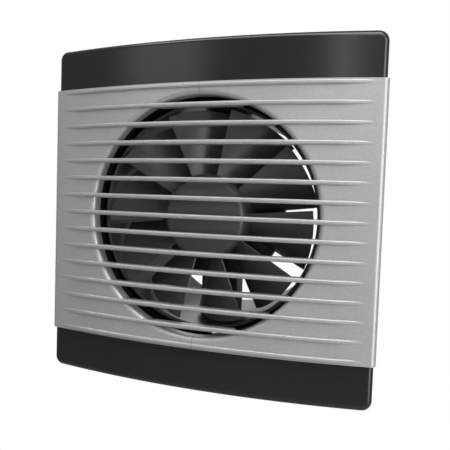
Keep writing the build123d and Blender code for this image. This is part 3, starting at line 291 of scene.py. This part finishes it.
def glossy_moulding(name, base, dust, handling, rough=0.2, grain=1.1 * MM, depth=0.004 * MM):
    """Dark plastic from a polished mould: slight waves, handling marks and settled dust."""
    finish = Finish(name, IOR=1.49, Specular_IOR_Level=0.4)
    marks = finish.noise(23 * MM, 4.0, 0.62)
    specks = finish.noise(0.55 * MM, 2.0, 0.7)
    up = finish.axes(finish.node("ShaderNodeNewGeometry", output="Normal"))[2]
    settled = up.above(0.2, 0.95) * specks.above(0.5, 0.72) * dust
    worn = 0.9 + 0.2 * marks
    shade = finish.blend(worn, BLACK, base)
    shade = finish.blend(settled, shade, DUST)
    roughness = rough + 0.1 * handling * (marks - 0.4) + 0.35 * settled
    waves = finish.noise(grain, 2.0, 0.5)
    finish.feed(Base_Color=shade, Roughness=roughness)
    return finish.relief(waves, depth, 0.6)


def grained_moulding(name, base, sizes, dust, rough=0.4):
    """Dark plastic from a spark-eroded mould, with a fine even grain."""
    finish = Finish(name, IOR=1.49, Specular_IOR_Level=0.25)
    flow = finish.noise(30 * MM, 3.0, 0.55)
    grain = finish.cells(sizes.spark)
    up = finish.axes(finish.node("ShaderNodeNewGeometry", output="Normal"))[2]
    settled = up.above(0.3, 0.98) * finish.noise(0.7 * MM, 2.0, 0.7).above(0.48, 0.7) * dust
    shade = finish.blend(0.82 + 0.36 * flow, BLACK, base)
    shade = finish.blend(settled, shade, DUST)
    finish.feed(Base_Color=shade, Roughness=rough + 0.12 * (grain - 0.4) + 0.3 * settled)
    return finish.relief(grain, 0.02 * MM, 0.5)


def turned_metal(name, base, rough=0.28, pitch=0.18 * MM, dull=0.35):
    """Metal turned on a lathe: fine rings round the shaft's axis, a little tarnish."""
    finish = Finish(name, Metallic=1.0)
    x, y, z = finish.axes()
    radius = (x * x + z * z).maths("SQRT")
    rings = finish.ridges(radius + y * 0.8, pitch)
    tarnish = finish.noise(5 * MM, 3.0, 0.6)
    shade = finish.blend(tarnish.above(0.35, 0.8) * dull, base, scaled(base, 0.45))
    finish.feed(Base_Color=shade, Roughness=rough + 0.16 * (tarnish - 0.4) + 0.03 * rings)
    return finish.relief(0.5 + 0.5 * rings, 0.003 * MM, 0.6)


def stacked_sheets(name, sizes, base):
    """Punched steel sheets in a stack: a line between each pair and blue-brown edges."""
    finish = Finish(name, Metallic=0.9)
    _, y, _ = finish.axes()
    edge = finish.ridges(y, sizes.sheet)
    seam = edge.above(0.82, 0.97)
    blued = finish.noise(7 * MM, 3.0, 0.6).above(0.4, 0.75)
    shade = finish.blend(0.75 * blued, base, (0.075, 0.085, 0.12))
    shade = finish.blend(0.8 * seam, shade, (0.012, 0.011, 0.01))
    finish.feed(Base_Color=shade, Roughness=0.38 + 0.12 * blued + 0.2 * seam)
    return finish.relief(1.0 - seam, 0.05 * MM, 0.7)


def cast_metal(name, base):
    """Die-cast aluminium: cloudy grain and small pits."""
    finish = Finish(name, Metallic=0.95)
    grain = finish.noise(0.5 * MM, 3.0, 0.65)
    clouds = finish.noise(6 * MM, 2.0, 0.5)
    shade = finish.blend(clouds, scaled(base, 0.72), base)
    finish.feed(Base_Color=shade, Roughness=0.4 + 0.18 * grain)
    return finish.relief(grain, 0.02 * MM, 0.7)


def plated_steel(name, base, rough=0.3):
    """Zinc-plated steel: faint rolled streaks, cloudy plating and a few dull spots."""
    finish = Finish(name, Metallic=0.95)
    streaks = finish.noise(0.35 * MM, 2.0, 0.6, finish.stretched((1.0, 1.0, 0.12)))
    clouds = finish.noise(4.5 * MM, 3.0, 0.6)
    spots = finish.noise(1.3 * MM, 2.0, 0.6).above(0.62, 0.75)
    shade = finish.blend(clouds, scaled(base, 0.78), base)
    shade = finish.blend(0.45 * spots, shade, (0.46, 0.45, 0.42))
    finish.feed(Base_Color=shade, Roughness=rough + 0.1 * streaks + 0.14 * spots)
    return finish.relief(streaks, 0.003 * MM, 0.7)


def sintered_bronze():
    """Oil-filled bronze with open pores."""
    finish = Finish("sintered bronze", Metallic=0.9)
    pores = finish.cells(0.3 * MM).above(0.12, 0.4)
    oil = finish.noise(3 * MM, 2.0, 0.5)
    shade = finish.blend(pores, (0.09, 0.055, 0.022), (0.42, 0.25, 0.095))
    finish.feed(Base_Color=shade, Roughness=0.25 + 0.3 * oil)
    return finish.relief(pores, 0.03 * MM, 0.8)


def wool_felt():
    """Oiled felt: short matted fibres."""
    finish = Finish("oiled felt", Roughness=0.95)
    strands = finish.noise(0.12 * MM, 4.0, 0.7, finish.stretched((1.0, 0.3, 1.0), (0.4, 0.3, 0.9)))
    across = finish.noise(0.15 * MM, 4.0, 0.7, finish.stretched((0.3, 1.0, 1.0), (0.9, 0.2, 0.3)))
    mat = 0.5 * (strands + across)
    shade = finish.blend(mat.above(0.35, 0.68), (0.2, 0.16, 0.09), (0.55, 0.48, 0.33))
    finish.feed(Base_Color=shade)
    return finish.relief(mat, 0.12 * MM, 1.0)


def pressed_fibre():
    """Hard red-brown fibre with a layered edge."""
    finish = Finish("pressed fibre", Roughness=0.55)
    _, y, _ = finish.axes()
    layers = finish.ridges(y + 0.03 * MM * finish.noise(1 * MM), 0.12 * MM)
    shade = finish.blend(0.5 + 0.5 * layers, (0.2, 0.06, 0.025), (0.32, 0.11, 0.05))
    finish.feed(Base_Color=shade)
    return finish.relief(0.5 + 0.5 * layers, 0.01 * MM, 0.6)


def soft_rubber(colours):
    """Matt moulded rubber with a powdery bloom."""
    finish = Finish("soft rubber", IOR=1.5)
    bloom = finish.noise(2.4 * MM, 4.0, 0.65)
    grain = finish.noise(0.2 * MM, 2.0, 0.6)
    shade = finish.blend(bloom.above(0.45, 0.8) * 0.35, colours.rubber, (0.09, 0.088, 0.083))
    finish.feed(Base_Color=shade, Roughness=0.72 + 0.2 * (bloom - 0.4))
    return finish.relief(grain, 0.02 * MM, 0.8)


def nylon(name, base, rough=0.42):
    """Natural nylon: waxy, with faint flow lines."""
    finish = Finish(name, IOR=1.53)
    flow = finish.noise(6 * MM, 3.0, 0.55, finish.stretched((1.0, 1.0, 0.35)))
    grain = finish.noise(0.3 * MM, 2.0, 0.5)
    shade = finish.blend(flow, scaled(base, 0.86), base)
    finish.feed(Base_Color=shade, Roughness=rough + 0.12 * (flow - 0.5))
    return finish.relief(grain, 0.006 * MM, 0.6)


def enamelled_wire(colours, sizes):
    """Lacquered copper wire: glossy amber over bright metal."""
    finish = Finish("enamelled wire", Metallic=0.7)
    finish.surface.inputs["Coat Weight"].default_value = 0.6
    finish.surface.inputs["Coat Roughness"].default_value = 0.12
    uneven = finish.noise(2.2 * MM, 3.0, 0.6)
    lay = finish.noise(0.8 * sizes.wire, 2.0, 0.6)
    shade = finish.blend(uneven, scaled(colours.winding, 0.6), colours.winding)
    finish.feed(Base_Color=shade, Roughness=0.24 + 0.16 * lay)
    return finish.relief(lay, 0.01 * MM, 0.5)


def bare_copper():
    """Copper bar with heat tint beside the brazed joint."""
    finish = Finish("bare copper", Metallic=1.0)
    tint = finish.noise(3 * MM, 3.0, 0.6)
    scratches = finish.noise(0.15 * MM, 2.0, 0.6, finish.stretched((1.0, 0.15, 1.0)))
    shade = finish.blend(tint.above(0.4, 0.75), (0.72, 0.32, 0.18), (0.34, 0.11, 0.055))
    finish.feed(Base_Color=shade, Roughness=0.28 + 0.2 * tint)
    return finish.relief(scratches, 0.004 * MM, 0.6)


def lead_sleeve(colours):
    """Soft sleeve on the leads: satin, with scuffs."""
    finish = Finish("lead sleeve", IOR=1.48)
    scuff = finish.noise(3.2 * MM, 4.0, 0.65)
    skin = finish.noise(0.35 * MM, 2.0, 0.5)
    shade = finish.blend(scuff.above(0.5, 0.8) * 0.3, colours.lead, scaled(colours.lead, 1.9))
    finish.feed(Base_Color=shade, Roughness=0.36 + 0.2 * scuff)
    return finish.relief(skin, 0.012 * MM, 0.6)


# ---- Pieces modelled here
def start_piece(name, adder, **options):
    """New object from one of Blender's primitives, with everything else deselected."""
    bpy.ops.object.select_all(action="DESELECT")
    adder(**options)
    piece = bpy.context.object
    piece.name = name
    bpy.ops.object.transform_apply(location=True, rotation=True, scale=True)
    return piece


def select_where(piece, parts, wanted):
    """Selects the faces or edges of a piece that a test accepts; leaves it in edit mode."""
    bpy.ops.object.mode_set(mode="EDIT")
    bpy.ops.mesh.select_mode(type="FACE" if parts == "polygons" else "EDGE")
    bpy.ops.mesh.select_all(action="DESELECT")
    bpy.ops.object.mode_set(mode="OBJECT")
    for part in getattr(piece.data, parts):
        part.select = wanted(part)
    bpy.ops.object.mode_set(mode="EDIT")


def finish_piece(piece, angle=35.0):
    """Leaves edit mode, points the faces outwards and smooths the shallow edges."""
    bpy.ops.object.mode_set(mode="EDIT")
    bpy.ops.mesh.reveal()
    bpy.ops.mesh.select_all(action="SELECT")
    bpy.ops.mesh.normals_make_consistent(inside=False)
    bpy.ops.object.mode_set(mode="OBJECT")
    bpy.ops.object.shade_smooth_by_angle(angle=math.radians(angle))


def wound_coil(wire):
    """Coil on the pole along +X: a ring of wire turns between the bobbin's flanges."""
    low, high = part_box("coil_windings")
    size = Vector((WINDING_LENGTH, high.y - low.y, 2.0 * WINDING_HALF_WIDTH))
    middle = Vector((high.x - WINDING_LENGTH / 2.0, (low.y + high.y) / 2.0, 0.0))
    coil = start_piece(
        "winding_turns", bpy.ops.mesh.primitive_cube_add, size=1.0, location=middle, scale=size
    )
    select_where(coil, "polygons", lambda face: abs(face.normal.x) > 0.5)
    bpy.ops.mesh.inset(thickness=WINDING_DEPTH)
    bpy.ops.mesh.bridge_edge_loops()
    bpy.ops.mesh.hide(unselected=False)

    points = coil.data.vertices
    half_depth = size.y / 2.0 - 0.1 * MM

    def outer_corner(edge):
        ends = [points[index].co for index in edge.vertices]
        across = all(abs(end.y - middle.y) > half_depth for end in ends)
        return across and abs(ends[0].x - ends[1].x) > 1.0 * MM and abs(ends[0].z - ends[1].z) < 0.1 * MM

    select_where(coil, "edges", outer_corner)
    bpy.ops.mesh.bevel(offset=WINDING_ROUND, segments=6, affect="EDGES")

    turns = round(WINDING_LENGTH / wire)
    step = WINDING_LENGTH / turns / 2.0
    groove = 0.7 * wire
    shrink = (1.0, 1.0 - groove / size.y, 1.0 - groove / size.z)
    first = middle.x - WINDING_LENGTH / 2.0
    for cut in range(1, 2 * turns):
        place = (first + cut * step, middle.y, 0.0)
        bpy.ops.mesh.select_all(action="SELECT")
        bpy.ops.mesh.bisect(plane_co=place, plane_no=(1.0, 0.0, 0.0))
        if cut % 2 == 0:
            bpy.ops.transform.resize(value=shrink, center_override=place)
    finish_piece(coil, 50.0)
    return coil


def copied(piece, place):
    """Copy of a piece with its own mesh, selected and moved by place."""
    bpy.ops.object.select_all(action="DESELECT")
    twin = piece.copy()
    twin.data = piece.data.copy()
    bpy.context.scene.collection.objects.link(twin)
    twin.select_set(True)
    bpy.context.view_layer.objects.active = twin
    bpy.ops.transform.translate(value=place)
    bpy.ops.object.transform_apply(location=True, rotation=True, scale=True)
    return twin


def ring_of(piece, count):
    """A piece and its copies, evenly turned about the duct's axis and joined."""
    turned = [piece]
    for place in range(1, count):
        twin = copied(piece, (0.0, 0.0, 0.0))
        bpy.ops.transform.rotate(
            value=2.0 * math.pi * place / count, orient_axis="Y", center_override=(0.0, 0.0, 0.0)
        )
        bpy.ops.object.transform_apply(location=True, rotation=True, scale=True)
        turned.append(twin)
    bpy.ops.object.select_all(action="DESELECT")
    for part in turned:
        part.select_set(True)
    bpy.context.view_layer.objects.active = piece
    bpy.ops.object.join()
    return piece


def crimped_collar(name, place):
    """Flared plastic collar of the ferrule crimped on a lead, just outside the terminal block."""
    collar = start_piece(
        name,
        bpy.ops.mesh.primitive_cylinder_add,
        vertices=40,
        radius=COLLAR_RADIUS,
        depth=COLLAR_LENGTH,
        location=place,
        rotation=(0.0, math.radians(90.0), 0.0),
    )
    points = collar.data.vertices
    select_where(collar, "polygons", lambda face: abs(face.normal.x) > 0.5)
    bpy.ops.mesh.inset(thickness=COLLAR_RADIUS - COLLAR_BORE)
    bpy.ops.mesh.bridge_edge_loops()

    def rim(edge):
        ends = [points[index].co - Vector(place) for index in edge.vertices]
        outside = all(math.hypot(end.y, end.z) > COLLAR_RADIUS * 0.95 for end in ends)
        return outside and abs(ends[0].x - ends[1].x) < 0.01 * MM

    select_where(collar, "edges", rim)
    bpy.ops.mesh.bevel(offset=COLLAR_EDGE, segments=3, affect="EDGES")
    bpy.ops.mesh.select_all(action="SELECT")
    waist = Vector(place) - Vector((COLLAR_LENGTH * COLLAR_WAIST, 0.0, 0.0))
    bpy.ops.mesh.bisect(plane_co=waist, plane_no=(1.0, 0.0, 0.0))
    bpy.ops.transform.resize(value=(1.0, 0.93, 0.93), center_override=waist)
    finish_piece(collar)
    return collar


# ---- Operators
class FanOperator(bpy.types.Operator):
    """Shared options of the fan's operators."""

    bl_options = {"REGISTER", "UNDO"}

    @staticmethod
    def settings(context):
        scene = context.scene
        return scene.fan_colours, scene.fan_sizes, scene.fan_wear


class FAN_OT_panel(FanOperator):
    """Lacquer the barred panel silver"""

    bl_idname = "fan.panel"
    bl_label = "Barred panel"

    def execute(self, context):
        silver_lacquer(*self.settings(context)).cover("grille_panel")
        return {"FINISHED"}


class FAN_OT_casing(FanOperator):
    """Give the bowed casing its dark, slightly glossy finish"""

    bl_idname = "fan.casing"
    bl_label = "Casing"

    def execute(self, context):
        colours, _, wear = self.settings(context)
        glossy_moulding("casing plastic", colours.casing, wear.dust, wear.handling).cover("front_casing")
        return {"FINISHED"}


class FAN_OT_housing(FanOperator):
    """Finish the base plate, the duct and the motor carrier in grained plastic"""

    bl_idname = "fan.housing"
    bl_label = "Base plate, duct and carrier"

    def execute(self, context):
        colours, sizes, wear = self.settings(context)
        for node, rough in (("base_plate", 0.45), ("duct", 0.3), ("motor_carrier", 0.4)):
            name = node.replace("_", " ") + " plastic"
            grained_moulding(name, colours.duct, sizes, wear.dust, rough).cover(node)
        return {"FINISHED"}


class FAN_OT_impeller(FanOperator):
    """Finish the bladed impeller and its brass insert"""

    bl_idname = "fan.impeller"
    bl_label = "Impeller"

    def execute(self, context):
        colours, _, wear = self.settings(context)
        plastic = glossy_moulding("impeller plastic", colours.impeller, wear.dust, wear.handling, rough=0.3)
        plastic.cover("impeller")
        brass = turned_metal("turned brass", (0.62, 0.42, 0.15))
        brass.cover("hub_insert", "rotor_spacers", "terminal_tubes")
        return {"FINISHED"}


class FAN_OT_rotor(FanOperator):
    """Finish the shaft, its ring, the rotor's stack and cage and the washers"""

    bl_idname = "fan.rotor"
    bl_label = "Shaft and rotor"

    def execute(self, context):
        _, sizes, _ = self.settings(context)
        turned_metal("ground steel", (0.56, 0.56, 0.57), 0.16, 0.09 * MM, 0.15).cover("motor_shaft")
        plated_steel("spring steel", (0.3, 0.29, 0.28), 0.34).cover("retaining_ring")
        stacked_sheets("rotor sheets", sizes, (0.36, 0.37, 0.39)).cover("rotor_core")
        cast_metal("cast cage", (0.62, 0.63, 0.64)).cover("rotor_cage")
        pressed_fibre().cover("thrust_washers")
        return {"FINISHED"}


class FAN_OT_stator(FanOperator):
    """Finish the stator's stack, shading rings, bobbins, windings and thermal cut-out"""

    bl_idname = "fan.stator"
    bl_label = "Stator and windings"

    def execute(self, context):
        colours, sizes, _ = self.settings(context)
        stacked_sheets("stator sheets", sizes, (0.34, 0.35, 0.37)).cover("stator_core")
        bare_copper().cover("shading_rings")
        nylon("bobbin nylon", (0.72, 0.68, 0.56)).cover("coil_bobbins")
        wire = enamelled_wire(colours, sizes)
        wire.cover("coil_windings")
        turns = ring_of(wound_coil(sizes.wire), POLES)
        wire.cover(turns.name)
        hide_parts("coil_windings")
        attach(turns, "housing")
        nylon("fuse shell", (0.66, 0.62, 0.55), 0.5).cover("thermal_fuse")
        return {"FINISHED"}


class FAN_OT_bearings(FanOperator):
    """Finish the end bells, bushes, oil felts and rubber dampers"""

    bl_idname = "fan.bearings"
    bl_label = "End bells and bearings"

    def execute(self, context):
        colours, _, _ = self.settings(context)
        plated_steel("pressed zinc steel", (0.55, 0.56, 0.57)).cover("front_end_bell", "rear_end_bell")
        sintered_bronze().cover("front_bush", "rear_bush")
        wool_felt().cover("oil_felts")
        soft_rubber(colours).cover("motor_dampers", "cable_grommet")
        return {"FINISHED"}


class FAN_OT_wiring(FanOperator):
    """Finish the leads, terminal block and cable clamp"""

    bl_idname = "fan.wiring"
    bl_label = "Wiring"

    def execute(self, context):
        colours, _, _ = self.settings(context)
        lead_sleeve(colours).cover("motor_leads")
        nylon("terminal plastic", colours.block, 0.36).cover("terminal_block", "cable_clamp")
        low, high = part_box("terminal_block")
        collar_plastic = nylon("collar nylon", (0.5, 0.5, 0.49), 0.38)
        for number, side in enumerate((-1.0, 1.0)):
            level = (low.z + high.z) / 2.0 + side * POLE_PITCH / 2.0
            place = (high.x + COLLAR_LENGTH / 2.0, (low.y + high.y) / 2.0, level)
            collar = crimped_collar("lead_collar_%d" % number, place)
            collar_plastic.cover(collar.name)
            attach(collar, "housing")
        return {"FINISHED"}


class FAN_OT_screws(FanOperator):
    """Finish the screws and nuts"""

    bl_idname = "fan.screws"
    bl_label = "Screws and nuts"

    def execute(self, context):
        plated_steel("plated screws", (0.6, 0.6, 0.58), 0.26).cover(
            "motor_screws",
            "motor_nuts",
            "terminal_screws",
            "terminal_block_screw",
            "cable_clamp_screws",
            "cover_screw",
        )
        return {"FINISHED"}


def pale_sheet(name, middle, turn, tone, shadow_reach=None):
    """Large flat sheet of the stage, white to the camera except where the fan's shadow falls.

    A sheet without a shadow's reach also brightens the fan's reflections.
    """
    bpy.ops.object.select_all(action="DESELECT")
    bpy.ops.mesh.primitive_plane_add(size=SHEET_SIZE, location=middle, rotation=turn)
    sheet = bpy.context.object
    sheet.name = name
    finish = Finish(name, Roughness=0.9)
    finish.surface.inputs["Base Color"].default_value = (tone, tone, tone, 1.0)
    seen = finish.node("ShaderNodeLightPath")
    if shadow_reach:
        length_only = {"operation": "LENGTH"}
        distance = finish.node("ShaderNodeVectorMath", length_only, {0: finish.place()}, output="Value")
        seen = seen * distance.above(0.4 * shadow_reach, shadow_reach)
    else:
        glossy = finish.node("ShaderNodeLightPath", output="Is Glossy Ray")
        seen = seen.maths("MAXIMUM", SHEET_GLOSS * glossy)
    white = finish.node("ShaderNodeEmission", inputs={"Color": WHITE, "Strength": 1.0})
    body = Signal(finish, finish.surface.outputs[0])
    mixed = finish.node("ShaderNodeMixShader", inputs={0: seen, 1: body, 2: white})
    finish.tree.links.new(mixed.socket, finish.tree.nodes["Material Output"].inputs["Surface"])
    sheet.data.materials.append(finish.material)


def soft_lamp(name, place, width, height, power, mirrored):
    """Rectangular lamp that faces the fan, hidden from the camera."""
    light = bpy.data.lights.new(name, "AREA")
    light.shape = "RECTANGLE"
    light.size, light.size_y = width, height
    light.energy = power
    lamp = bpy.data.objects.new(name, light)
    lamp.location = place
    lamp.rotation_euler = (Vector(STAGE_MIDDLE) - Vector(place)).to_track_quat("-Z", "Y").to_euler()
    lamp.visible_glossy = mirrored
    lamp.visible_camera = False
    bpy.context.scene.collection.objects.link(lamp)


class FAN_OT_stage(FanOperator):
    """Set the camera, the pale floor and backdrop and the soft lamps"""

    bl_idname = "fan.stage"
    bl_label = "Stage and lamps"

    def execute(self, context):
        scene = context.scene
        view = bpy.data.cameras.new("camera")
        view.lens, view.sensor_width = CAMERA_LENS, 36.0
        view.clip_start, view.clip_end = 0.01, 20.0
        camera = bpy.data.objects.new("camera", view)
        camera.location = CAMERA_PLACE
        camera.rotation_euler = Euler([math.radians(angle) for angle in CAMERA_TURN], "XYZ")
        scene.collection.objects.link(camera)
        scene.camera = camera

        pale_sheet("floor", (0.0, 0.0, -0.62), (0.0, 0.0, 0.0), 0.42, shadow_reach=0.9)
        pale_sheet("backdrop", (0.0, 1.6, 0.0), (math.radians(90.0), 0.0, 0.0), 0.4)
        for lamp in LAMPS:
            soft_lamp(*lamp)

        world = bpy.data.worlds.new("room")
        world.use_nodes = True
        nodes, links = world.node_tree.nodes, world.node_tree.links
        seen = nodes.new("ShaderNodeLightPath").outputs["Is Camera Ray"]
        strength = nodes.new("ShaderNodeMapRange")
        strength.inputs["To Min"].default_value = ROOM_LIGHT
        strength.inputs["To Max"].default_value = 1.0
        links.new(seen, strength.inputs["Value"])
        links.new(strength.outputs[0], nodes["Background"].inputs["Strength"])
        nodes["Background"].inputs["Color"].default_value = WHITE
        scene.world = world
        scene.view_settings.view_transform = "Standard"
        return {"FINISHED"}


PIECE_OPERATORS = (
    FAN_OT_panel,
    FAN_OT_casing,
    FAN_OT_housing,
    FAN_OT_impeller,
    FAN_OT_rotor,
    FAN_OT_stator,
    FAN_OT_bearings,
    FAN_OT_wiring,
    FAN_OT_screws,
)
SETTINGS = (("fan_colours", FanColours), ("fan_sizes", FanSizes), ("fan_wear", FanWear))


class FAN_PT_sidebar(bpy.types.Panel):
    """Lists the fan's pieces and settings."""

    bl_idname = "FAN_PT_sidebar"
    bl_label = "Extractor Fan"
    bl_space_type = "VIEW_3D"
    bl_region_type = "UI"
    bl_category = "Extractor Fan"

    def draw(self, context):
        for name, group in SETTINGS:
            box = self.layout.box()
            for setting in group.__annotations__:
                box.prop(getattr(context.scene, name), setting)
        for operator in (*PIECE_OPERATORS, FAN_OT_stage):
            self.layout.operator(operator.bl_idname)


CLASSES = (*(group for _, group in SETTINGS), *PIECE_OPERATORS, FAN_OT_stage, FAN_PT_sidebar)


def register():
    for cls in CLASSES:
        bpy.utils.register_class(cls)
    for name, group in SETTINGS:
        setattr(bpy.types.Scene, name, PointerProperty(type=group))


def unregister():
    for name, _ in SETTINGS:
        delattr(bpy.types.Scene, name)
    for cls in reversed(CLASSES):
        bpy.utils.unregister_class(cls)


def main():
    """Finishes the whole fan."""
    register()
    for operator in (*PIECE_OPERATORS, FAN_OT_stage):
        group, name = operator.bl_idname.split(".")
        getattr(getattr(bpy.ops, group), name)()


if __name__ == "__main__":
    main()
